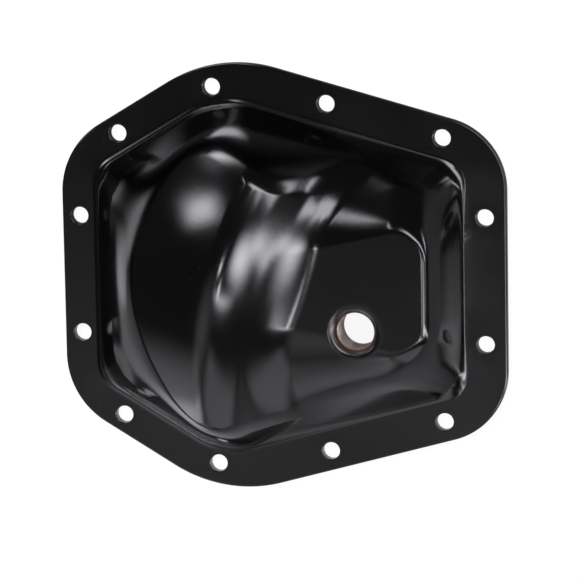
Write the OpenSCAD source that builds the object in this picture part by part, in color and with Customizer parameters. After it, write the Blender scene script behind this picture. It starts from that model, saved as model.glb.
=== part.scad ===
// Differential cover: one deep-drawn steel pressing with a flat bolting flange,
// a raised pad with a tapped filler neck, and a dome that clears the ring gear.
// The mating face lies on Z = 0 and the bulge rises along +Z. The flange and its
// holes are mirrored about the XZ plane, in which the axle's axis lies.

/* [Sheet] */
// Thickness of the pressed sheet
sheet_t = 5; // [3.5:0.5:6]

/* [Flange] */
// Distance from the origin to the flange's edge on the dome side
flange_left = 117.5; // [115:0.5:125]
// Distance from the origin to the flange's edge on the pad side
flange_right = 117.5; // [115:0.5:125]
// Place along X of the sharp corner in which the two slopes of the outline meet
peak_x = -33; // [-38:1:-28]
// Height of that corner over the axis
peak_y = 117.5; // [115:0.5:125]
// Angle of the outline's slope on the dome side
slope_left_deg = 31; // [29:0.5:33]
// Angle of the outline's slope on the pad side
slope_right_deg = 15.5; // [14:0.5:17]
// Radius of the two corners on the dome side
corner_left_r = 42; // [36:1:46]
// Radius of the two corners at the peaks
corner_peak_r = 73; // [60:1:80]
// Radius of the two corners on the pad side
corner_right_r = 38; // [30:1:42]

/* [Gasket rim] */
// Width of the flat rim at the edge on the dome side
rim_left = 19.5; // [18:0.5:21]
// Width of the flat rim along the slopes on the dome side
rim_slope_left = 20; // [19:0.5:22]
// Width of the flat rim along the slopes on the pad side
rim_slope_right = 22.5; // [21:0.5:24]
// Width of the flat rim at the edge on the pad side
rim_right = 23; // [21.5:0.5:24]
// Corner radius of the wall's foot on the dome side
foot_left_r = 17; // [12:1:22]
// Corner radius of the wall's foot at the peaks
foot_peak_r = 42; // [36:1:50]
// Corner radius of the wall's foot on the pad side
foot_right_r = 15; // [12:1:20]
// Height over which the wall's foot blends into the rim
foot_blend = 4; // [3:0.5:6]
// Height over which the inner face blends into the mating face
under_blend = 6; // [4:0.5:8]
// Growth of the wall's corner rounding for each millimetre inward
corner_growth = 0.4; // [0:0.1:0.8]

/* [Bolt holes] */
// Diameter of the clearance holes for the cover bolts
bolt_hole_d = 9; // [8:0.5:10]
// Holes of the upper half: edge, counted from the left, place along it from its datum, and distance in from it
bolt_places = [[0, 31, 9.3], [1, -68, 9.2], [1, -12, 14], [2, 62.2, 10.2], [2, 124.9, 10.5], [3, -33, 11.1]];

/* [Pad] */
// Height of the pad over the rim
pad_h = 38; // [32:1:42]
// Place along X where the pad starts, under the dome
pad_start = -25; // [-30:1:-15]
// Distance from the origin to the end of the pad, before its edge is rounded
pad_end = 86; // [80:1:87]
// Half width of the pad across the axis, before its edges are rounded
pad_half = 40; // [36:1:46]
// Plan radius of the pad's corners
pad_corner_r = 24; // [15:1:30]
// Least width in plan of the pad's wall
pad_least_run = 8; // [6:0.5:12]
// Height over which the pad's edges are rounded
pad_blend = 22; // [12:1:26]

/* [Dome] */
// Place along X of the centre of the dome's shoulder circle
dome_x = 15; // [10:1:18]
// Radius of the shoulder circle
dome_r = 91; // [88:1:93]
// Height of the shoulder over the rim
shoulder_h = 38; // [32:1:42]
// Rise of the dome above its shoulder, over the circle's centre
dome_rise = 34; // [26:1:38]
// Least width in plan of the dome's wall
dome_least_run = 11; // [9:0.5:16]
// Height over which the shoulder is rounded
shoulder_blend = 8; // [4:1:14]
// Growth of that height for each millimetre by which the wall is cramped at the peaks
peak_soften = 2.4; // [1:0.2:3]
// Place along X where the dome's flank meets the pad, on the axis
flank_x = 10; // [6:1:16]
// Angle of the flank from the pad
flank_deg = 48; // [40:1:55]
// Plan radius to which the foot of the flank curves
flank_plan_r = 240; // [160:10:400]
// Angle by which the flank leans out of square to the axis
flank_lean_deg = 18; // [6:1:22]
// Height over which the dome rounds into its flank
crest_blend = 18; // [8:1:24]
// Height over which the flank blends into the pad
valley_blend = 14; // [6:1:20]

/* [Filler neck] */
// Place of the filler hole along X
fill_x = 45; // [40:1:50]
// Place of the filler hole across the axis
fill_y = -21; // [-24:1:-16]
// Bore of the neck: the crests of its M22 x 2.5 thread
fill_bore_d = 19.3; // [17:0.1:20]
// Wall of the neck around the bore
neck_wall = 3.6; // [3:0.2:5]
// Length of the neck from the pad's upper face
neck_len = 23; // [16:0.5:26]
// Radius of the rounded mouth that leads into the bore
mouth_r = 4.5; // [3:0.5:5]

/* [Hidden] */
$fn = 96;

// Steps of the drawn surface: rings from the foot to the middle, and points along each stretch
rings = 22;
arc_steps = 6;
edge_steps = 8;
// Rings crowd towards the wall by this power
ring_power = 1.6;
// The drawn surface starts where its blend is this share of the blend's height below the rim's face
foot_share = 0.55;
// Depth at which the neck's outside ends within the sheet, over the sheet's thickness
neck_root = 0.65;
// Reach of the cutters past the faces that they cut
past = 1;
// The least that the drawn face stands above the rim's face at its edge, so that they share no plane
least_step = 0.05;
// The blend of the valley fades out over this distance from the foot
valley_fade = 10;
// Rounding of the change from a wall's full run to its least run
run_blend = 4;
// Rounding of the onset of the softer shoulder at the peaks
cramp_blend = 6;
// Width of a drafted wall across its level section, over the sheet's thickness
wall_share = 1.12;

// Straight edges of the upper half: a point on the edge and its direction, clockwise from the left
function dir(a) = [cos(a), sin(a)];
function inward(d) = [d.y, -d.x];
function edges(l, s1, s2, r) =
    let (peak = [peak_x, peak_y], d1 = dir(slope_left_deg), d2 = dir(-slope_right_deg))
    [[[-flange_left + l, 0], dir(90)],
     [peak + inward(d1) * s1, d1],
     [peak + inward(d2) * s2, d2],
     [[flange_right - r, 0], dir(-90)]];
outer_edges = edges(0, 0, 0, 0);
foot_edges = edges(rim_left, rim_slope_left, rim_slope_right, rim_right);

// The point where two edges meet
function meet(a, b) =
    let (n = inward(b[1])) a[0] + a[1] * (((b[0] - a[0]) * n) / (a[1] * n));
function turn(a, b) = acos(a[1] * b[1]);
// The centre of the arc of radius r between two edges
function arc_centre(a, b, r) =
    meet(a, b) - a[1] * r * tan(turn(a, b) / 2) + inward(a[1]) * r;
// Points of that arc, each with its outward direction: [point, outward]
function arc(a, b, r) =
    let (c = arc_centre(a, b, r), start = atan2(a[1].x, -a[1].y))
    [for (i = [0:arc_steps]) let (o = dir(start - turn(a, b) * i / arc_steps)) [c + r * o, o]];
// Points between two arcs, their ends left out
function between(p, q) =
    [for (i = [1:edge_steps - 1]) [p[0] + (q[0] - p[0]) * i / edge_steps, p[1]]];
function mirrored(s) = [[s[0].x, -s[0].y], [s[1].x, -s[1].y]];
function last(v) = v[len(v) - 1];

// The wall's foot: one closed run of [point, outward] stations, clockwise
foot_r = [foot_left_r, foot_peak_r, foot_right_r];
foot_arcs = [for (i = [0:2]) arc(foot_edges[i], foot_edges[i + 1], foot_r[i])];
foot_upper = concat(foot_arcs[0], between(last(foot_arcs[0]), foot_arcs[1][0]),
                    foot_arcs[1], between(last(foot_arcs[1]), foot_arcs[2][0]), foot_arcs[2]);
foot_lower = [for (i = [len(foot_upper) - 1:-1:0]) mirrored(foot_upper[i])];
stations = concat(foot_upper, between(last(foot_upper), foot_lower[0]),
                  foot_lower, between(last(foot_lower), foot_upper[0]));

// Smooth minimum and maximum: the blend spans the height k
function low(a, b, k) = min(a, b) - pow(max(k - abs(a - b), 0), 2) / (4 * k);
function high(a, b, k) = -low(-a, -b, k);

// Distance inside one straight side of the foot
function gap(x, y, e) = ([x, y] - e[0]) * inward(e[1]);
// The lesser of two gaps, rounded as a corner of radius r between them is, and more so further in
function rounded(a, b, r, angle) =
    low(a, b, 4 * r * (1 - cos(angle / 2)) + corner_growth * max(min(a, b), 0));
// Distance inside the foot, all its sides taken together
function inside(x, y) =
    let (e = foot_edges, peak_turn = turn(e[1], e[2]),
         top = rounded(gap(x, y, e[1]), gap(x, y, e[2]), foot_peak_r, peak_turn),
         bottom = rounded(gap(x, -y, e[1]), gap(x, -y, e[2]), foot_peak_r, peak_turn),
         left = rounded(rounded(gap(x, y, e[0]), top, foot_left_r, turn(e[0], e[1])), bottom,
                        foot_left_r, turn(e[0], e[1])))
    rounded(left, gap(x, y, e[3]), foot_right_r, turn(e[2], e[3]));

// Signed distances in plan, positive outside
function outside_circle(x, y) = norm([x - dome_x, y]) - dome_r;
function outside_pad(x, y) =
    let (q = [abs(x - (pad_start + pad_end) / 2) - (pad_end - pad_start) / 2 + pad_corner_r,
              abs(y) - pad_half + pad_corner_r])
    norm([max(q.x, 0), max(q.y, 0)]) + min(max(q.x, q.y), 0) - pad_corner_r;

// Height of a drawn wall at a point that lies d inside the foot and e outside the outline of its top,
// which is h high. No wall is steeper than h over least_run. The inner face is the same, moved in by inset.
function wall(d, e, h, least_run, inset) = h * (d - inset) / high(d + e, least_run, run_blend);
function dome_top(x, y) =
    shoulder_h + dome_rise * (1 - pow(norm([x - dome_x, y]) / dome_r, 2));
function flank(x, y) =
    pad_h + (flank_x + y * tan(flank_lean_deg) - y * y / (2 * flank_plan_r) - x) * tan(flank_deg);
function dome_height(x, y, d, inset, drop) =
    let (e = outside_circle(x, y),
         top = low(dome_top(x, y), flank(x, y) - inset * tan(flank_deg) / 2, crest_blend) - drop)
    low(wall(d, e, shoulder_h, dome_least_run, inset), top,
        shoulder_blend + peak_soften * high(dome_least_run - d - e, 0, cramp_blend));
function pad_height(x, y, d, inset, drop) =
    low(wall(d, outside_pad(x, y), pad_h, pad_least_run, inset), pad_h - drop, pad_blend);

// Height over the rim of one face of the sheet, at a point d inside the wall's foot, before the foot is blended
function face_height(x, y, d, inset, drop) =
    high(dome_height(x, y, d, inset, drop), pad_height(x, y, d, inset, drop),
         valley_blend * min(1, max(d - inset, valley_fade / 50) / valley_fade));

// Rise of the wall at its foot for each millimetre inward, at one station
function rise(st) =
    max(shoulder_h / max(outside_circle(st[0].x, st[0].y), dome_least_run),
        pad_h / max(outside_pad(st[0].x, st[0].y), pad_least_run));

// One face of the sheet: points over the foot's stations, ring by ring to the middle.
// level is the flat face that it rises from, and blend is the height of the bend at its foot.
function face_point(st, s, inset, drop, level, blend) =
    let (span = st[0] * st[1],
         d0 = (level - foot_share * blend) / rise(st) + inset,
         p = st[0] * (1 - (d0 + (span - d0) * s) / span),
         h = face_height(p.x, p.y, inside(p.x, p.y), inset, drop))
    [p.x, p.y, sheet_t + max(high(h, level, blend), level + least_step)];
function face(inset, drop, level, blend) =
    [for (k = [0:rings]) [for (st = stations)
        face_point(st, pow(k / rings, ring_power), inset, drop, level, blend)]];
n_st = len(stations);
upper_face = face(0, 0, 0, foot_blend);
lower_face = face(sheet_t * wall_share, sheet_t, -sheet_t, under_blend);

// A closed solid under a face, down to a flat base
module under_face(g, base_z) {
    base = [for (p = g[0]) [p.x, p.y, base_z]];
    points = concat(base, [for (k = [0:rings - 1]) each g[k]], [g[rings][0]]);
    last_ring = rings * n_st;
    polyhedron(
        points = points,
        faces = concat(
            [[for (j = [n_st - 1:-1:0]) j]],
            [for (k = [0:rings - 1]) for (j = [0:n_st - 1]) each
                let (i = (j + 1) % n_st, a = k * n_st)
                [[a + j, a + n_st + i, a + n_st + j], [a + j, a + i, a + n_st + i]]],
            [for (j = [0:n_st - 1]) [last_ring + j, last_ring + (j + 1) % n_st, last_ring + n_st]]));
}

module flange_blank() {
    radii = [corner_left_r, corner_peak_r, corner_right_r];
    centres = [for (i = [0:2]) arc_centre(outer_edges[i], outer_edges[i + 1], radii[i])];
    tangents = [for (i = [0:2]) each [centres[i] - inward(outer_edges[i][1]) * radii[i],
                                      centres[i] - inward(outer_edges[i + 1][1]) * radii[i]]];
    linear_extrude(sheet_t)
        polygon(concat(tangents, [for (i = [5:-1:0]) [tangents[i].x, -tangents[i].y]]));
    for (i = [0:2], side = [1, -1])
        translate([centres[i].x, side * centres[i].y, 0]) cylinder(h = sheet_t, r = radii[i]);
}

module bolt_holes() {
    for (place = bolt_places, side = [1, -1])
        let (e = outer_edges[place[0]], p = e[0] + e[1] * place[1] + inward(e[1]) * place[2])
        translate([p.x, side * p.y, -past])
            cylinder(h = sheet_t + 2 * past, d = bolt_hole_d);
}

// Outside of the filler neck, hanging from within the pad's sheet, where its edge has begun to round
module neck_blank() {
    translate([fill_x, fill_y, sheet_t + pad_h - neck_len])
        cylinder(h = neck_len - sheet_t * neck_root, d = fill_bore_d + 2 * neck_wall);
}

// The bore with its rounded mouth
module neck_bore() {
    translate([fill_x, fill_y, sheet_t + pad_h]) {
        translate([0, 0, -neck_len - past]) cylinder(h = neck_len + 2 * past, d = fill_bore_d);
        rotate_extrude() difference() {
            translate([0, -mouth_r]) square([fill_bore_d / 2 + mouth_r, mouth_r + past]);
            translate([fill_bore_d / 2 + mouth_r, -mouth_r]) circle(r = mouth_r);
        }
    }
}

module cover() {
    color("#17171a") difference() {
        union() {
            difference() {
                union() {
                    flange_blank();
                    under_face(upper_face, sheet_t / 2);
                }
                under_face(lower_face, -past);
            }
            neck_blank();
        }
        bolt_holes();
        neck_bore();
    }
}

cover();
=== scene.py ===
import bpy
import numpy as np
from mathutils import Matrix, Vector
from mathutils.geometry import delaunay_2d_cdt


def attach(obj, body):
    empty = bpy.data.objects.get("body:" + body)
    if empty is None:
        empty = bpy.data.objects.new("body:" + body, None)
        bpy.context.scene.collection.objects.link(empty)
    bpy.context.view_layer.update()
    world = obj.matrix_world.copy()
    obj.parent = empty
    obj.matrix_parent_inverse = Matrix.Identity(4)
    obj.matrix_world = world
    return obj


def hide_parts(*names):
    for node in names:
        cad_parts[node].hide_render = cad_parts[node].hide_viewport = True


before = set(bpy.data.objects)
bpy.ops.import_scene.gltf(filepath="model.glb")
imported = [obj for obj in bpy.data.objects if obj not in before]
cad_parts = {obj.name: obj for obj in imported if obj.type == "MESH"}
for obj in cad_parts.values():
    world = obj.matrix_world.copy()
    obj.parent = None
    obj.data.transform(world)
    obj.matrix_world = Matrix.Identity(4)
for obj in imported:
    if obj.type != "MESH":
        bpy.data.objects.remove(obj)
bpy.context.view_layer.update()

# Sizes are in millimetres and degrees, the same as the CAD source's, apart from a few hundredths that keep the finer
# mesh within the box of the coarser solid: the dome's rise, and WITHIN, by which the flange's edge is moved in.
MM = 0.001
WITHIN = 0.02
SHEET = 5.0

# Flange: half its length, the point where its upper edges meet, their slopes, the corner radii from the left, and the
# roundings of its edge and holes, above and below. The lower half mirrors the upper one.
FLANGE_SIDE = 117.5
PEAK = np.array([-33.0, 117.5])
SLOPE_LEFT, SLOPE_RIGHT = 31.0, 15.5
FLANGE_CORNERS = (42.0, 73.0, 38.0)
EDGE_ROUNDS, HOLE_ROUNDS = (0.9, 0.5), (0.6, 0.4)

# Bolt holes of the upper half: edge from the left, place along it, distance in from it.
BOLT_R = 4.5
BOLT_PLACES = ((0, 31.0, 9.3), (1, -68.0, 9.2), (1, -12.0, 14.0),
               (2, 62.2, 10.2), (2, 124.9, 10.5), (3, -33.0, 11.1))

# Foot of the walls: how far in from the flange's four edges it lies, its corner radii, how fast those grow further
# in, and its blends into the flange's upper and lower face.
RIMS = (19.5, 20.0, 22.5, 23.0)
FOOT_CORNERS = (17.0, 42.0, 15.0)
CORNER_GROWTH = 0.4
FOOT_BLEND, UNDER_BLEND = 4.0, 6.0

# Pad: height, ends, half width and corners of its rounded rectangle, then its wall's least run and its blend.
PAD_H, PAD_START, PAD_END, PAD_HALF, PAD_CORNER = 38.0, -25.0, 86.0, 40.0, 24.0
PAD_RUN, PAD_BLEND = 8.0, 22.0

# Dome: shoulder circle and height, rise above it, then its wall's least run and its blend, softer at the peaks.
DOME_X, DOME_R, SHOULDER_H, DOME_RISE = 15.0, 91.0, 38.0, 33.97
DOME_RUN, SHOULDER_BLEND, PEAK_SOFTEN = 11.0, 8.0, 2.4

# Flank from the dome down to the pad: where it comes down to the pad's height, slope, radius seen from above, lean,
# and its blends into the dome's top and, fading out towards the foot, into the pad.
FLANK_X, FLANK_DEG, FLANK_PLAN_R, FLANK_LEAN = 10.0, 48.0, 240.0, 18.0
CREST_BLEND, VALLEY_BLEND, VALLEY_FADE = 18.0, 14.0, 10.0

# Filler neck: axis, bore at the thread's crests, outside, length, rolled mouth, fillet, lip and thread.
FILL = np.array([45.0, -21.0])
BORE_R, NECK_R, NECK_LEN, MOUTH_R = 9.65, 13.25, 23.0, 4.5
NECK_FILLET, NECK_LIP = 1.5, 0.5
THREAD_PITCH, THREAD_DEPTH = 3.4, 1.4
NECK_TOP = PAD_H + SHEET
NECK_END = NECK_TOP - NECK_LEN

# Points round the walls' foot, the flange's edge, the neck and each bolt hole.
STATIONS, EDGE_SIDES, NECK_SIDES, BOLT_SIDES = 480, 440, 108, 48
# Rings of the outer and inner face, the share of the way to the middle that they cover, and how much they crowd
# together at the foot.
OUTER_RINGS, INNER_RINGS = 80, 36
RING_SHARE, RING_CROWDING = 0.4, 1.25
# Radius round the filler hole within which triangles take the place of the grid, on the outer and inner face.
OUTER_CUT, INNER_CUT = 19.0, 20.0
# How far out of the foot a pressed face may reach into the flange, and how close to a flat face counts as level.
FOOT_REACH, LEVEL_WITHIN = 3.4, 0.003

NO_QUADS, NO_TRIANGLES = np.zeros((0, 4), int), np.zeros((0, 3), int)

# Tint of the soft boxes and of the table's light in the paint.
COOL_WHITE = (0.95, 0.94, 1.0, 1)
# What the paint mirrors of the table: centre, half sizes (metres) and level.
TABLE_LIGHT = (((-0.034, 0.133), (0.021, 0.010), 4.32), ((-0.228, 0.051), (0.048, 0.037), 1.65),
               ((-0.159, -0.104), (0.206, 0.084), 0.44), ((0.338, -0.156), (0.210, 0.500), 0.44),
               ((-0.016, -0.266), (0.118, 0.291), 0.52), ((-0.108, -0.163), (0.036, 0.049), 1.48),
               ((-0.163, -0.001), (0.032, 0.027), 1.23))


# Outlines

def direction(degrees):
    """Unit vector at an angle from +X."""
    return np.array([np.cos(np.radians(degrees)), np.sin(np.radians(degrees))])


def inward(d):
    """Normal to the right of a direction, which is inside for a clockwise run."""
    return np.array([d[1], -d[0]])


def four_edges(left, upper_left, upper_right, right):
    """The cover's left, two upper and right edges as (point, direction), each moved inwards by its own distance."""
    d1, d2 = direction(SLOPE_LEFT), direction(-SLOPE_RIGHT)
    return [(np.array([-FLANGE_SIDE + left, 0.0]), direction(90)),
            (PEAK + inward(d1) * upper_left, d1),
            (PEAK + inward(d2) * upper_right, d2),
            (np.array([FLANGE_SIDE - right, 0.0]), direction(-90))]


def corner_arc(a, b, radius, steps):
    """Points and outward normals of the arc that rounds the corner of two edges, tangent to both."""
    n = inward(b[1])
    meet = a[0] + a[1] * (((b[0] - a[0]) @ n) / (a[1] @ n))
    turn = np.arccos(a[1] @ b[1])
    centre = meet - a[1] * radius * np.tan(turn / 2) + inward(a[1]) * radius
    angles = np.arctan2(a[1][0], -a[1][1]) - turn * np.linspace(0, 1, steps + 1)
    out = np.c_[np.cos(angles), np.sin(angles)]
    return centre + radius * out, out


def outline(edges, radii, count):
    """Closed clockwise loop of evenly spaced points with outward normals: three rounded corners, their mirror
    images below, and the straight lines between. Places and normal angles are interpolated by arc length."""
    arcs = [corner_arc(edges[i], edges[i + 1], r, 160) for i, r in enumerate(radii)]
    upper = np.vstack([a[0] for a in arcs])
    normals = np.vstack([a[1] for a in arcs])
    points = np.vstack([upper, upper[::-1] * [1, -1], upper[:1]])
    normals = np.vstack([normals, normals[::-1] * [1, -1], normals[:1]])
    along = np.r_[0, np.cumsum(np.linalg.norm(np.diff(points, axis=0), axis=1))]
    angles = np.unwrap(np.arctan2(normals[:, 1], normals[:, 0]))
    t = np.arange(count) / count * along[-1]
    angle = np.interp(t, along, angles)
    return (np.c_[np.interp(t, along, points[:, 0]), np.interp(t, along, points[:, 1])],
            np.c_[np.cos(angle), np.sin(angle)])


def circle(centre, radius, count):
    """Evenly spaced points on a circle."""
    t = np.arange(count) / count * 2 * np.pi
    return np.asarray(centre) + radius * np.c_[np.cos(t), np.sin(t)]


def bolt_centres():
    """The twelve bolt holes, mirrored below the X axis."""
    edges = four_edges(0, 0, 0, 0)
    upper = np.array([edges[e][0] + edges[e][1] * along + inward(edges[e][1]) * margin
                      for e, along, margin in BOLT_PLACES])
    return np.vstack([upper, upper * [1, -1]])


# Heights of the pressed faces

def low(a, b, k):
    """Smaller of two heights, with a parabolic blend where they are less than k apart."""
    return np.minimum(a, b) - np.maximum(k - np.abs(a - b), 0) ** 2 / (4 * k)


def high(a, b, k):
    """Greater of two heights, with the same blend."""
    return -low(-a, -b, k)


def inside(x, y):
    """Distance inside the foot: the least of the distances from its sides, rounded at each corner. The rounding
    suits the foot's own corner on the line and grows wider further in."""
    sides = four_edges(*RIMS)
    mirrored = [(p * [1, -1], d * [-1, 1]) for p, d in sides[1:3]]
    gaps = [(x - p[0]) * inward(d)[0] + (y - p[1]) * inward(d)[1] for p, d in sides + mirrored]
    left, upper_left, upper_right, right, lower_left, lower_right = gaps

    def corner(a, b, radius, turn):
        k = 4 * radius * (1 - np.cos(np.radians(turn) / 2)) + CORNER_GROWTH * np.maximum(np.minimum(a, b), 0)
        return low(a, b, k)

    left_r, peak_r, right_r = FOOT_CORNERS
    peak_turn = SLOPE_LEFT + SLOPE_RIGHT
    upper = corner(upper_left, upper_right, peak_r, peak_turn)
    lower = corner(lower_left, lower_right, peak_r, peak_turn)
    left_half = corner(corner(left, upper, left_r, 90 - SLOPE_LEFT), lower, left_r, 90 - SLOPE_LEFT)
    return corner(left_half, right, right_r, 90 - SLOPE_RIGHT)


def outside_circle(x, y):
    """Distance outside the dome's shoulder circle."""
    return np.hypot(x - DOME_X, y) - DOME_R


def outside_pad(x, y):
    """Distance outside the pad's rounded rectangle."""
    qx = np.abs(x - (PAD_START + PAD_END) / 2) - (PAD_END - PAD_START) / 2 + PAD_CORNER
    qy = np.abs(y) - PAD_HALF + PAD_CORNER
    return (np.hypot(np.maximum(qx, 0), np.maximum(qy, 0))
            + np.minimum(np.maximum(qx, qy), 0) - PAD_CORNER)


def wall(d, e, height, run, inset):
    """Wall that climbs by height between the foot, d away, and a form's edge, e away, or over run where the two are
    closer together: height x (d - inset) / (d + e)."""
    return height * (d - inset) / high(d + e, run, 4.0)


def pressed_height(x, y, inset=0.0, drop=0.0):
    """Height over the flange's upper face: the greater of dome and pad, each the lower of its top and its wall. The
    dome's top is a paraboloid cut by the flank. inset and drop move walls inwards and tops down for the inner face."""
    d = inside(x, y)
    top = SHOULDER_H + DOME_RISE * (1 - (np.hypot(x - DOME_X, y) / DOME_R) ** 2)
    lean = y * np.tan(np.radians(FLANK_LEAN)) - y * y / (2 * FLANK_PLAN_R)
    flank = PAD_H + (FLANK_X + lean - x - inset / 2) * np.tan(np.radians(FLANK_DEG))
    run = d + outside_circle(x, y)
    soft = SHOULDER_BLEND + PEAK_SOFTEN * high(DOME_RUN - run, 0, 6.0)
    dome = low(wall(d, run - d, SHOULDER_H, DOME_RUN, inset), low(top, flank, CREST_BLEND) - drop, soft)
    pad = low(wall(d, outside_pad(x, y), PAD_H, PAD_RUN, inset), PAD_H - drop, PAD_BLEND)
    fade = np.minimum(1, np.maximum(d - inset, VALLEY_FADE / 50) / VALLEY_FADE)
    return high(dome, pad, VALLEY_BLEND * fade)


def settled(x, y, width):
    """Share of a rise that is left near the foot: none further out than the foot's reach, all of it width inside
    that, and a smooth step between."""
    t = np.clip((inside(x, y) + FOOT_REACH) / width, 0, 1)
    return t * t * (3 - 2 * t)


def upper_z(x, y):
    """Height of the outer face, blended into the flange."""
    return SHEET + high(pressed_height(x, y), 0.0, FOOT_BLEND) * settled(x, y, 2.5)


def lower_z(x, y):
    """Height of the inner face, blended into the gasket face."""
    return (SHEET + high(pressed_height(x, y, SHEET * 1.12, SHEET), -SHEET, UNDER_BLEND)) * settled(x, y, 5.0)


def slope_normals(height, x, y, facing):
    """Unit normals of a height surface from central differences, upwards or downwards."""
    step = 0.02
    gx = (height(x + step, y) - height(x - step, y)) / (2 * step)
    gy = (height(x, y + step) - height(x, y - step)) / (2 * step)
    n = np.stack([-gx, -gy, np.ones_like(gx)], axis=-1)
    return facing * n / np.linalg.norm(n, axis=-1, keepdims=True)


# Patches: (points, normals, quads, triangles, bare metal)

def grid_faces(rows, columns, closed):
    """Quads of a rows x columns grid of points, closed or open along its rows."""
    index = np.arange(rows * columns).reshape(rows, columns)
    right = np.roll(index, -1, axis=1)
    quads = np.stack([index[:-1], right[:-1], right[1:], index[1:]], axis=-1)
    return (quads if closed else quads[:, :-1]).reshape(-1, 4)


def grid_patch(points, normals, bare=False):
    """A patch over a grid of points that is closed along its rows."""
    rows, columns = points.shape[:2]
    return points.reshape(-1, 3), normals.reshape(-1, 3), grid_faces(rows, columns, True), NO_TRIANGLES, bare


def height_patch(height, xy, facing, quads=NO_QUADS, triangles=NO_TRIANGLES):
    """A patch of a height surface over points of the plane."""
    points = np.c_[xy, height(xy[:, 0], xy[:, 1])]
    return points, slope_normals(height, xy[:, 0], xy[:, 1], facing), quads, triangles, False


def foot_start(height, level):
    """Distance inside the foot at which a pressed face first reaches the flat face's level, for each station: many
    distances are tried, going outwards, and the last one counts as level in any case."""
    points, normals = outline(four_edges(*RIMS), FOOT_CORNERS, STATIONS)
    reach = (points * normals).sum(1)
    tried = np.linspace(14.0, -FOOT_REACH - 0.1, 461)
    at = points * (1 - tried[:, None] / reach)[..., None]
    flat = height(at[..., 0], at[..., 1]) < level + LEVEL_WITHIN
    flat[-1] = True
    return tried[np.argmax(flat, axis=0)]


def wall_rings(start, rings, every):
    """Rings of every so many stations, from start at the foot inwards to a share of the way to the middle. The way
    in grows with a power of the ring's number, so the rings are closer together near the foot."""
    points, normals = outline(four_edges(*RIMS), FOOT_CORNERS, STATIONS)
    points, normals, start = points[::every], normals[::every], start[::every]
    reach = (points * normals).sum(1)
    share = (np.arange(rings + 1)[:, None] / rings) ** RING_CROWDING
    d = start + (reach * RING_SHARE - start) * share
    return points * (1 - d / reach)[..., None]


def filled_loop(loop):
    """Square grid that fills a closed loop of 4m points: a Coons patch, which joins opposite quarter runs
    straight across and takes away the sheet through the four corners."""
    m = len(loop) // 4
    loop = np.vstack([loop, loop[:1]])
    bottom, right = loop[:m + 1], loop[m:2 * m + 1]
    top, left = loop[2 * m:3 * m + 1][::-1], loop[3 * m:4 * m + 1][::-1]
    u = np.linspace(0, 1, m + 1)[None, :, None]
    v = np.linspace(0, 1, m + 1)[:, None, None]
    corners = ((1 - u) * (1 - v) * bottom[0] + u * (1 - v) * bottom[-1]
               + (1 - u) * v * top[0] + u * v * top[-1])
    return (1 - v) * bottom[None] + v * top[None] + (1 - u) * left[:, None] + u * right[:, None] - corners


def merged_grids(rings, square):
    """One numbered set of plane points for the rings and the square that fills them, with shared points merged, the
    quads over them, and the numbers of the first ring."""
    rows, columns = rings.shape[:2]
    quads = np.vstack([grid_faces(rows, columns, True),
                       grid_faces(*square.shape[:2], False) + rows * columns])
    xy = np.vstack([rings.reshape(-1, 2), square.reshape(-1, 2)])
    _, first, own = np.unique(np.round(xy * 1e5).astype(np.int64), axis=0, return_index=True, return_inverse=True)
    own = own.reshape(-1)
    return xy[first], own[quads], own[:columns]


def opened(xy, quads, radius):
    """Leaves out the quads that lie wholly within a radius of the filler hole, and gives the loop round the opening:
    those of their edges that no two of them share, put in order by following them 1, 2, 4, 8... steps at a time."""
    gone = (np.linalg.norm(xy - FILL, axis=1) < radius)[quads].all(axis=1)
    cut = quads[gone]
    edges = np.vstack([np.c_[cut[:, i], cut[:, (i + 1) % 4]] for i in range(4)])
    rim = edges[~np.isin(edges @ [len(xy), 1], edges @ [1, len(xy)])]
    after = np.zeros(len(xy), int)
    after[rim[:, 0]] = rim[:, 1]
    loop = rim[:1, 0]
    while len(loop) < len(rim):
        loop, after = np.r_[loop, after[loop]], after[after]
    return quads[~gone], loop[:len(rim)]


def covers(loop, points):
    """True for the points inside a closed loop, by the parity of its edges crossed to the right."""
    a, b = loop, np.roll(loop, -1, axis=0)
    above = (a[:, 1] > points[:, 1, None]) != (b[:, 1] > points[:, 1, None])
    run = np.where(a[:, 1] == b[:, 1], 1.0, b[:, 1] - a[:, 1])
    cross = a[:, 0] + (points[:, 1, None] - a[:, 1]) * (b[:, 0] - a[:, 0]) / run
    return (above & (cross > points[:, 0, None])).sum(axis=1) % 2 == 1


def between(outer, holes, spare=()):
    """Points and triangles that fill the plane inside a loop and outside the holes in it: constrained Delaunay over
    the loops' own points and some spare ones."""
    loops = [outer, *holes]
    points = np.vstack([*loops, *spare])
    ends = np.cumsum([len(loop) for loop in loops])
    edges = np.vstack([np.c_[i, np.roll(i, -1)] for i in np.split(np.arange(ends[-1]), ends[:-1])])
    triangles = np.array(delaunay_2d_cdt(points.tolist(), edges.tolist(), [], 1, 1e-6)[2])
    middle = points[triangles].mean(axis=1)
    return points, triangles[~np.any([covers(hole, middle) for hole in holes], axis=0)]


def pressed_face(height, facing, level, rings, every, cut, hole_r):
    """Outer or inner face from the flat face's level to the filler hole: rings, a square middle, and within the cut
    radius triangles that end in the hole's circle. Also gives the loop it starts from."""
    grid = wall_rings(foot_start(height, level), rings, every)
    xy, quads, foot = merged_grids(grid, filled_loop(grid[-1]))
    quads, loop = opened(xy, quads, cut)
    face = height_patch(height, xy, facing, quads)
    face[0][foot, 2] = level
    spare = [circle(FILL, r, NECK_SIDES) for r in np.arange(hole_r + 0.8, cut - 2.0, 0.9)]
    points, triangles = between(xy[loop], [circle(FILL, hole_r, NECK_SIDES)], spare)
    return [face, height_patch(height, points, facing, triangles=triangles)], grid[0]


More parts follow.
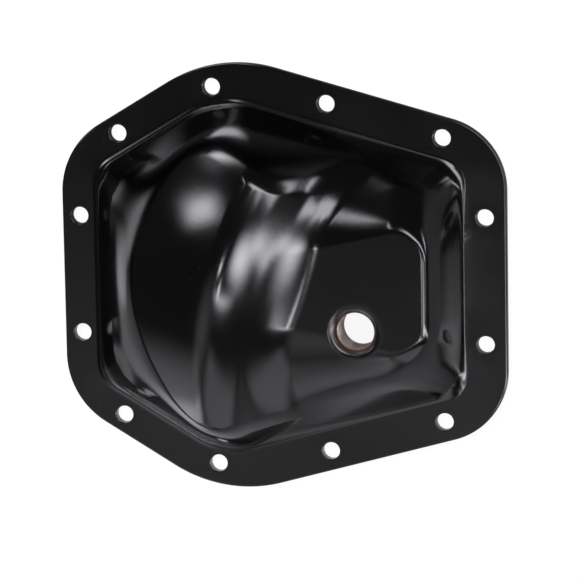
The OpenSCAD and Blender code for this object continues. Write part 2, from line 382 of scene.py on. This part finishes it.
def flat_patch(z, facing, outer, holes):
    """Flat face between an outer loop and the loops inside it."""
    points, triangles = between(outer, holes)
    normals = np.tile([0.0, 0.0, facing], (len(points), 1))
    return np.c_[points, np.full(len(points), z)], normals, NO_QUADS, triangles, False


def quarter_round(radius, centre, a0, a1, steps):
    """Arc in a section plane as rows of (out, up, normal out, normal up)."""
    a = np.radians(np.linspace(a0, a1, steps + 1))
    return np.c_[centre[0] + radius * np.cos(a), centre[1] + radius * np.sin(a), np.cos(a), np.sin(a)]


def edge_profile(top_r, bottom_r):
    """Section of the sheet's edge: rounded above, upright, rounded below. The edge itself is at 0."""
    return np.vstack([quarter_round(top_r, (-top_r, SHEET - top_r), 90, 0, 6),
                      quarter_round(bottom_r, (-bottom_r, bottom_r), 0, -90, 5)])


def swept(profile, points, normals, sign=1.0):
    """A section carried round a loop: out goes along the loop's normals, up is Z. sign -1 turns it inwards."""
    out = sign * profile[:, 0, None, None] * normals[None] + points[None]
    up = np.broadcast_to(profile[:, 1, None, None], out.shape[:2] + (1,))
    n_out = sign * profile[:, 2, None, None] * normals[None]
    n_up = np.broadcast_to(profile[:, 3, None, None], out.shape[:2] + (1,))
    return grid_patch(np.concatenate([out, up], axis=2), np.concatenate([n_out, n_up], axis=2))


def turned_patch(r, z, n_out, n_up):
    """A patch turned about the bore's axis, from rows of radius, height and normal (out, up). Heights may also
    differ from side to side of the bore."""
    radial = circle((0.0, 0.0), 1.0, NECK_SIDES)
    whole = (len(r), NECK_SIDES, 1)
    r, z, n_out, n_up = [np.broadcast_to(row.reshape(whole[0], -1, 1), whole) for row in (r, z, n_out, n_up)]
    return grid_patch(np.concatenate([FILL + r * radial, z], axis=2), np.concatenate([n_out * radial, n_up], axis=2))


def mouth_patch():
    """Rolled mouth: a quarter round from the pad in to the bore, stretched to meet the pad's own height."""
    rim = circle(FILL, BORE_R + MOUTH_R, NECK_SIDES)
    a = np.radians(np.linspace(90, 0, 13))
    share = np.sin(a)[:, None]
    z = (NECK_TOP - MOUTH_R) * (1 - share) + upper_z(rim[:, 0], rim[:, 1]) * share
    return turned_patch(BORE_R + MOUTH_R - MOUTH_R * np.cos(a), z, -np.cos(a), np.sin(a))


def thread_patch():
    """Thread in the bore: radius = bore + depth x tooth(z / pitch + turn), which sinks as it turns counterclockwise.
    The tooth is a triangle wave with flat crests, a third of it smoothed so that the roots are round, and it fades
    out at both ends."""
    z_low, z_high = NECK_END + NECK_LIP, NECK_TOP - MOUTH_R
    rows = int((z_high - z_low) / THREAD_PITCH * 16)

    def radius(turn, z):
        phase = np.mod(z / THREAD_PITCH + turn, 1.0)
        tooth = np.clip(1.25 * (1 - np.abs(2 * phase - 1)) - 0.16, 0, 1)
        tooth = tooth * tooth * (3 - 2 * tooth) * 0.35 + tooth * 0.65
        ends = np.clip(np.minimum(z - z_low, z_high - z) / 1.2, 0, 1)
        return BORE_R + THREAD_DEPTH * tooth * ends * ends * (3 - 2 * ends)

    turn, z = np.meshgrid(np.arange(NECK_SIDES) / NECK_SIDES, np.linspace(z_low, z_high, rows + 1))
    r = radius(turn, z)
    angle = 2 * np.pi * turn
    slope_z = (radius(turn, z + 0.01) - radius(turn, z - 0.01)) / 0.02
    slope_t = (radius(turn + 1e-4, z) - radius(turn - 1e-4, z)) / (2e-4 * 2 * np.pi * r)
    points = np.stack([FILL[0] + r * np.cos(angle), FILL[1] + r * np.sin(angle), z], axis=-1)
    normals = np.stack([-np.cos(angle) - slope_t * np.sin(angle), -np.sin(angle) + slope_t * np.cos(angle),
                        slope_z], axis=-1)
    return grid_patch(points, normals / np.linalg.norm(normals, axis=-1, keepdims=True), bare=True)


def lip_patch():
    """Lower lip of the neck: two quarter rounds with a flat between them."""
    up = NECK_END + NECK_LIP
    lip = np.vstack([quarter_round(NECK_LIP, (BORE_R + NECK_LIP, up), 180, 270, 5),
                     quarter_round(NECK_LIP, (NECK_R - NECK_LIP, up), 270, 360, 5)])
    return turned_patch(*lip.T)


def neck_side_patch():
    """Outside of the neck, upright, and its fillet to the inner face's own height all round."""
    rim = circle(FILL, NECK_R + NECK_FILLET, NECK_SIDES)
    a = np.radians(np.linspace(0, 90, 7))
    z = lower_z(rim[:, 0], rim[:, 1]) - NECK_FILLET + NECK_FILLET * np.sin(a)[:, None]
    z = np.vstack([np.full(NECK_SIDES, NECK_END + NECK_LIP), z])
    r = np.r_[NECK_R, NECK_R + NECK_FILLET - NECK_FILLET * np.cos(a)]
    a = np.r_[0.0, a]
    return turned_patch(r, z, np.cos(a), -np.sin(a))


def cover_patches():
    """Every patch of the closed cover."""
    upper, top_foot = pressed_face(upper_z, 1.0, SHEET, OUTER_RINGS, 1, OUTER_CUT, BORE_R + MOUTH_R)
    lower, under_foot = pressed_face(lower_z, -1.0, 0.0, INNER_RINGS, 2, INNER_CUT, NECK_R + NECK_FILLET)
    rim, rim_normals = outline(four_edges(0, 0, 0, 0), FLANGE_CORNERS, EDGE_SIDES)
    rim -= WITHIN * rim_normals
    centres = bolt_centres()
    patches = upper + lower + [mouth_patch(), thread_patch(), lip_patch(), neck_side_patch()]
    flats = ((SHEET, 1.0, top_foot), (0.0, -1.0, under_foot))
    for (z, facing, foot), edge_round, hole_round in zip(flats, EDGE_ROUNDS, HOLE_ROUNDS):
        holes = [circle(c, BOLT_R + hole_round, BOLT_SIDES) for c in centres]
        patches.append(flat_patch(z, facing, rim - edge_round * rim_normals, [foot, *holes]))
    patches.append(swept(edge_profile(*EDGE_ROUNDS), rim, rim_normals))
    for c in centres:
        hole = circle(c, BOLT_R, BOLT_SIDES)
        patches.append(swept(edge_profile(*HOLE_ROUNDS), hole, (hole - c) / BOLT_R, -1.0))
    return patches


def turned_out(points, normals, faces):
    """Turns round the faces whose winding points against their normals."""
    a, b, c = points[faces[:, 0]], points[faces[:, 1]], points[faces[:, 2]]
    against = (np.cross(b - a, c - a) * normals[faces].mean(axis=1)).sum(axis=1) < 0
    faces = faces.copy()
    faces[against] = faces[against][:, ::-1]
    return faces


def joined(name, patches, finishes):
    """One closed mesh object from patches that share their border points. Points that agree to a ten-thousandth of a
    millimetre become one, with the mean of their normals, and unused ones are left out. The second finish goes on
    the patches of bare metal."""
    points, normals, quads, triangles, quad_bare, triangle_bare, first = [], [], [], [], [], [], 0
    for p, n, q, t, bare in patches:
        points.append(p)
        normals.append(n)
        quads.append(turned_out(p, n, q) + first)
        triangles.append(turned_out(p, n, t) + first)
        quad_bare.append(np.full(len(q), bare))
        triangle_bare.append(np.full(len(t), bare))
        first += len(p)
    points, normals = np.vstack(points), np.vstack(normals)
    _, keep, own = np.unique(np.round(points * 1e4).astype(np.int64), axis=0, return_index=True, return_inverse=True)
    own = own.reshape(-1)
    total = np.zeros((len(keep), 3))
    np.add.at(total, own, normals)
    quads, triangles = own[np.vstack(quads)], own[np.vstack(triangles)]
    used, numbered = np.unique(np.r_[quads.reshape(-1), triangles.reshape(-1)], return_inverse=True)
    quads, triangles = numbered[:quads.size].reshape(-1, 4), numbered[quads.size:].reshape(-1, 3)
    keep, total = keep[used], total[used]
    total /= np.linalg.norm(total, axis=1, keepdims=True)
    mesh = bpy.data.meshes.new(name)
    mesh.from_pydata((points[keep] * MM).tolist(), [], quads.tolist() + triangles.tolist())
    mesh.polygons.foreach_set("use_smooth", np.ones(len(mesh.polygons), bool))
    mesh.polygons.foreach_set("material_index", np.concatenate(quad_bare + triangle_bare).astype(np.int32))
    for finish in finishes:
        mesh.materials.append(finish)
    mesh.normals_split_custom_set_from_vertices(total.tolist())
    mesh.update()
    obj = bpy.data.objects.new(name, mesh)
    bpy.context.scene.collection.objects.link(obj)
    return obj


# Finishes

def node(tree, kind, inputs=None, **settings):
    """Adds a node, sets its properties, and sets or links its inputs."""
    made = tree.nodes.new(kind)
    for key, value in settings.items():
        setattr(made, key, value)
    for key, value in (inputs or {}).items():
        if isinstance(value, bpy.types.NodeSocket):
            tree.links.new(value, made.inputs[key])
        else:
            made.inputs[key].default_value = value
    return made


def maths(tree, operation, *values):
    """One operation on one or two numbers or sockets."""
    return node(tree, "ShaderNodeMath", dict(enumerate(values)), operation=operation).outputs[0]


def ramp(tree, value, low_in, high_in, low_out, high_out, kind="LINEAR"):
    """Value mapped from one range to another, clamped."""
    return node(tree, "ShaderNodeMapRange", {"Value": value, "From Min": low_in, "From Max": high_in,
                                             "To Min": low_out, "To Max": high_out},
                interpolation_type=kind).outputs["Result"]


def mixed_colour(tree, share, first, second):
    """Mix of two colours, each given as three numbers or as a socket, by a share."""
    mix = node(tree, "ShaderNodeMix", data_type="RGBA")
    tree.links.new(share, mix.inputs["Factor"])
    for name, colour in (("A", first), ("B", second)):
        own = [i for i in mix.inputs if i.name == name and i.type == "RGBA"][0]
        if isinstance(colour, bpy.types.NodeSocket):
            tree.links.new(colour, own)
        else:
            own.default_value = (*colour, 1.0)
    return [o for o in mix.outputs if o.type == "RGBA"][0]


def new_material(name):
    """An empty node material with its output."""
    material = bpy.data.materials.new(name)
    material.use_nodes = True
    material.node_tree.nodes.clear()
    return material, material.node_tree, material.node_tree.nodes.new("ShaderNodeOutputMaterial")


def filler_distance():
    """Node group: distance of a place from the filler hole's axis, in millimetres."""
    group = bpy.data.node_groups.new("distance_from_filler_hole", "ShaderNodeTree")
    group.interface.new_socket("Place", in_out="INPUT", socket_type="NodeSocketVector")
    group.interface.new_socket("Distance", in_out="OUTPUT", socket_type="NodeSocketFloat")
    entry, out = group.nodes.new("NodeGroupInput"), group.nodes.new("NodeGroupOutput")
    moved = node(group, "ShaderNodeVectorMath", {0: entry.outputs[0], 1: (FILL[0] * MM, FILL[1] * MM, 0)},
                 operation="SUBTRACT")
    flat = node(group, "ShaderNodeVectorMath", {0: moved.outputs[0], 1: (1 / MM, 1 / MM, 0)}, operation="MULTIPLY")
    away = node(group, "ShaderNodeVectorMath", {0: flat.outputs[0]}, operation="LENGTH")
    group.links.new(away.outputs["Value"], out.inputs[0])
    return group


def gloss_black_paint(distance):
    """Gloss black enamel: slight orange peel, uneven gloss, a few dust specks under the film, and at the filler
    mouth a brown, duller rim where the tap cut through it."""
    material, tree, out = new_material("gloss_black_paint")
    place = node(tree, "ShaderNodeTexCoord").outputs["Object"]
    away = node(tree, "ShaderNodeGroup", {"Place": place}, node_tree=distance).outputs["Distance"]
    peel = node(tree, "ShaderNodeTexNoise", {"Vector": place, "Scale": 420.0, "Detail": 1.5, "Roughness": 0.4})
    broad = node(tree, "ShaderNodeTexNoise", {"Vector": place, "Scale": 38.0, "Detail": 3.0}).outputs["Fac"]
    cells = node(tree, "ShaderNodeTexVoronoi", {"Vector": place, "Scale": 520.0})
    chance = node(tree, "ShaderNodeSeparateColor", {"Color": cells.outputs["Color"]}).outputs["Red"]
    speck = maths(tree, "MULTIPLY", maths(tree, "GREATER_THAN", chance, 0.955),
                  maths(tree, "LESS_THAN", cells.outputs["Distance"], 0.13))
    dusty = mixed_colour(tree, speck, (0.0016, 0.0015, 0.0018), (0.03, 0.029, 0.03))
    worn = maths(tree, "MULTIPLY", ramp(tree, away, BORE_R, BORE_R + 2.4, 0.9, 0.0), broad)
    gloss = ramp(tree, broad, 0.3, 0.7, 0.12, 0.17)
    dulled = ramp(tree, away, BORE_R, BORE_R + MOUTH_R + 2, 0.2, 0.0)
    bump = node(tree, "ShaderNodeBump", {"Strength": 0.035, "Distance": 0.0003, "Height": peel.outputs["Fac"]})
    shader = node(tree, "ShaderNodeBsdfPrincipled",
                  {"Base Color": mixed_colour(tree, worn, dusty, (0.16, 0.075, 0.05)),
                   "Roughness": maths(tree, "ADD", gloss, dulled), "IOR": 1.5, "Normal": bump.outputs["Normal"]})
    tree.links.new(shader.outputs[0], out.inputs["Surface"])
    return material


def bare_thread(distance):
    """Tapped steel, left bare: brownish silver crests with tool marks round the bore, and painted shade that darkens
    the roots.
    """
    material, tree, out = new_material("bare_thread")
    place = node(tree, "ShaderNodeTexCoord").outputs["Object"]
    away = node(tree, "ShaderNodeGroup", {"Place": place}, node_tree=distance).outputs["Distance"]
    marks = node(tree, "ShaderNodeMapping", {"Vector": place, "Scale": (1.0, 1.0, 9.0)}).outputs[0]
    streak = node(tree, "ShaderNodeTexNoise", {"Vector": marks, "Scale": 300.0, "Detail": 4.0}).outputs["Fac"]
    stain = node(tree, "ShaderNodeTexNoise", {"Vector": place, "Scale": 160.0, "Detail": 3.0}).outputs["Fac"]
    steel = mixed_colour(tree, stain, (0.30, 0.23, 0.18), (0.66, 0.60, 0.54))
    # Painted shade: the base colour darkens from the crests to near black at the thread's roots, by distance from the
    # bore's axis.
    root = ramp(tree, away, BORE_R + 0.15 * THREAD_DEPTH, BORE_R + 0.7 * THREAD_DEPTH, 0.0, 1.0)
    bump = node(tree, "ShaderNodeBump", {"Strength": 0.2, "Distance": 0.0002, "Height": streak})
    shader = node(tree, "ShaderNodeBsdfPrincipled",
                  {"Base Color": mixed_colour(tree, root, steel, (0.02, 0.013, 0.01)), "Metallic": 0.95,
                   "Roughness": ramp(tree, streak, 0.3, 0.7, 0.28, 0.45), "Normal": bump.outputs["Normal"]})
    tree.links.new(shader.outputs[0], out.inputs["Surface"])
    return material


# Table, room, lights and camera

def soft_patch(tree, place, centre, half, level):
    """Level round the middle of an ellipse on the table, smooth to nothing from 0.7 to 1.6 times its half sizes."""
    moved = node(tree, "ShaderNodeVectorMath", {0: place, 1: (*centre, 0)}, operation="SUBTRACT")
    scaled = node(tree, "ShaderNodeVectorMath", {0: moved.outputs[0], 1: (*half, 1)}, operation="DIVIDE")
    away = node(tree, "ShaderNodeVectorMath", {0: scaled.outputs[0]}, operation="LENGTH").outputs["Value"]
    return ramp(tree, away, 0.7, 1.6, level, 0.0, "SMOOTHSTEP")


def floor():
    """White table that the gasket face lies on. The camera sees it plainly lit and near white, with the cover's
    shadow. What the paint mirrors of it has bright patches above, at the left and at the lower left, is grey below
    and at the right, and dark elsewhere."""
    half, down = 1.6, -0.0001
    mesh = bpy.data.meshes.new("floor")
    mesh.from_pydata([(-half, -half, down), (half, -half, down), (half, half, down), (-half, half, down)], [],
                     [(0, 1, 2, 3)])
    material, tree, out = new_material("white_table")
    path = node(tree, "ShaderNodeLightPath")
    place = node(tree, "ShaderNodeTexCoord").outputs["Object"]
    total = None
    for centre, size, level in TABLE_LIGHT:
        spot = soft_patch(tree, place, centre, size, level)
        total = spot if total is None else maths(tree, "ADD", total, spot)
    cloth = node(tree, "ShaderNodeBsdfDiffuse", {"Color": (0.14, 0.14, 0.14, 1)})
    glow = node(tree, "ShaderNodeEmission", {"Color": (1, 1, 1, 1), "Strength": 0.92})
    seen = node(tree, "ShaderNodeAddShader", {0: cloth.outputs[0], 1: glow.outputs[0]})
    mirrored = node(tree, "ShaderNodeEmission", {"Color": COOL_WHITE, "Strength": total})
    plain = node(tree, "ShaderNodeBsdfDiffuse", {"Color": (0.75, 0.75, 0.75, 1)})
    other = node(tree, "ShaderNodeMixShader", {0: path.outputs["Is Glossy Ray"], 1: plain.outputs[0],
                                               2: mirrored.outputs[0]})
    shown = node(tree, "ShaderNodeMixShader", {0: path.outputs["Is Camera Ray"], 1: other.outputs[0],
                                               2: seen.outputs[0]})
    tree.links.new(shown.outputs[0], out.inputs["Surface"])
    mesh.materials.append(material)
    obj = bpy.data.objects.new("floor", mesh)
    bpy.context.scene.collection.objects.link(obj)
    return obj


def set_world():
    """White behind the object for the camera, a dim even room for everything else."""
    world = bpy.data.worlds.new("room")
    bpy.context.scene.world = world
    world.use_nodes = True
    tree = world.node_tree
    tree.nodes.clear()
    path = node(tree, "ShaderNodeLightPath")
    white = node(tree, "ShaderNodeBackground", {"Color": (1, 1, 1, 1), "Strength": 1.0})
    room = node(tree, "ShaderNodeBackground", {"Color": (1, 1, 1, 1), "Strength": 0.06})
    mixed = node(tree, "ShaderNodeMixShader", {0: path.outputs["Is Camera Ray"], 1: room.outputs[0],
                                               2: white.outputs[0]})
    out = node(tree, "ShaderNodeOutputWorld")
    tree.links.new(mixed.outputs[0], out.inputs["Surface"])


def facing_cover(azimuth, elevation, distance):
    """Placement of something that faces the cover, by azimuth from +X, elevation and distance in metres."""
    a, e = np.radians(azimuth), np.radians(elevation)
    away = Vector((np.cos(a) * np.cos(e), np.sin(a) * np.cos(e), np.sin(e)))
    return Matrix.Translation(away * distance + Vector((0, 0, 0.04))) @ \
        away.to_track_quat("Z", "Y").to_matrix().to_4x4()


def lamp(name, azimuth, elevation, distance, size, power):
    """Area lamp that lights the cover and the table, but is not itself mirrored in the paint."""
    data = bpy.data.lights.new(name, "AREA")
    data.size, data.energy = size, power
    made = bpy.data.objects.new(name, data)
    made.matrix_world = facing_cover(azimuth, elevation, distance)
    made.visible_glossy = False
    bpy.context.scene.collection.objects.link(made)


def card(name, azimuth, elevation, width, height, radiance, soft, turn=0.0, distance=1.2):
    """Glowing card that only reflections show: radiance x smooth steps across and up. It is clear, so that cards one
    behind the other add up. soft is the share of each half that the step takes."""
    mesh = bpy.data.meshes.new(name)
    mesh.from_pydata([(-width / 2, -height / 2, 0), (width / 2, -height / 2, 0), (width / 2, height / 2, 0),
                      (-width / 2, height / 2, 0)], [], [(0, 1, 2, 3)])
    material, tree, out = new_material(name)
    place = node(tree, "ShaderNodeSeparateXYZ", {0: node(tree, "ShaderNodeTexCoord").outputs["Object"]})
    across, up = [ramp(tree, maths(tree, "ABSOLUTE", place.outputs[axis]), size / 2 * (1 - soft), size / 2, 1.0, 0.0,
                       "SMOOTHSTEP") for axis, size in (("X", width), ("Y", height))]
    level = maths(tree, "MULTIPLY", maths(tree, "MULTIPLY", across, up), radiance)
    glow = node(tree, "ShaderNodeEmission", {"Color": COOL_WHITE, "Strength": level})
    clear = node(tree, "ShaderNodeBsdfTransparent")
    both = node(tree, "ShaderNodeAddShader", {0: glow.outputs[0], 1: clear.outputs[0]})
    tree.links.new(both.outputs[0], out.inputs["Surface"])
    mesh.materials.append(material)
    made = bpy.data.objects.new(name, mesh)
    made.matrix_world = facing_cover(azimuth, elevation, distance) @ Matrix.Rotation(np.radians(turn), 4, "Z")
    for kind in ("camera", "diffuse", "shadow", "transmission", "volume_scatter"):
        setattr(made, "visible_" + kind, False)
    bpy.context.scene.collection.objects.link(made)
    return made


def set_camera():
    """The photograph's direction (azimuth from +Z towards +X, elevation towards +Y), roll, distance and framing."""
    azimuth, elevation, roll = np.radians([12.48, 9.92, -1.02])
    aim, distance = np.array([8.15, -2.76, 25.0]) * MM, 2.0
    away = np.array([np.sin(azimuth) * np.cos(elevation), np.sin(elevation), np.cos(azimuth) * np.cos(elevation)])
    right = np.cross(-away, [0, 1, 0])
    right /= np.linalg.norm(right)
    up = np.cross(right, -away)
    right, up = np.cos(roll) * right + np.sin(roll) * up, -np.sin(roll) * right + np.cos(roll) * up
    placement = np.eye(4)
    placement[:3] = np.c_[right, up, away, aim + distance * away]
    data = bpy.data.cameras.new("camera")
    data.lens, data.sensor_width = 241.85, 36.0
    camera = bpy.data.objects.new("camera", data)
    camera.matrix_world = Matrix(placement.tolist())
    bpy.context.scene.collection.objects.link(camera)
    bpy.context.scene.camera = camera


hole_distance = filler_distance()
cover = joined("differential_cover", cover_patches(), [gloss_black_paint(hole_distance), bare_thread(hole_distance)])
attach(cover, "root")
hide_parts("cover")

floor()
set_world()
lamp("key", 140, 55, 1.4, 0.6, 14)
lamp("fill", -20, 50, 1.5, 0.6, 9)
# Name, azimuth, elevation, width, height, radiance, softness, turn, and distance where it isn't the usual one.
card("upper_left_box", 152, 31, 0.30, 0.49, 12.3, 0.85, 45)
card("top_strip", 114, 10, 1.46, 0.36, 13.5, 0.98, 33)
card("top_narrow_strip", 104, 42, 0.11, 0.68, 9.3, 0.80, -4)
card("long_strip", 43, 50, 1.30, 0.45, 10.0, 0.55, 8)
card("right_box", -23, 39, 0.45, 1.39, 16.4, 0.94, -4)
card("ceiling_box", -72, 81, 0.55, 0.40, 15.1, 0.55, -40, 3.0)
card("slanted_strip", -51, 52, 0.16, 1.70, 12.3, 1.00, 29)
card("lower_left_screen", -122, 3, 1.62, 1.70, 1.3, 0.62, 50)
card("lower_screen", -72, 13, 1.70, 0.83, 1.3, 0.55, -56)
card("right_low_strip", 21, 7, 0.14, 1.02, 10.4, 0.69, 77)
card("ceiling_haze", -125, 51, 1.70, 1.59, 0.8, 1.00, 38)
card("right_strip", -23, 9, 0.17, 1.17, 11.9, 0.83, -15)
card("right_upper_strip", 2, 32, 0.19, 0.74, 11.2, 0.55, -39)
card("spot_box", 51, 59, 0.19, 0.11, 9.7, 0.55, -16)
card("lower_left_glow", -123, 8, 1.10, 0.34, 3.2, 0.56, 41)
card("lens_box", -59, 65, 0.12, 0.24, 14.7, 0.55, 9)
set_camera()
bpy.context.scene.view_settings.view_transform = "Standard"
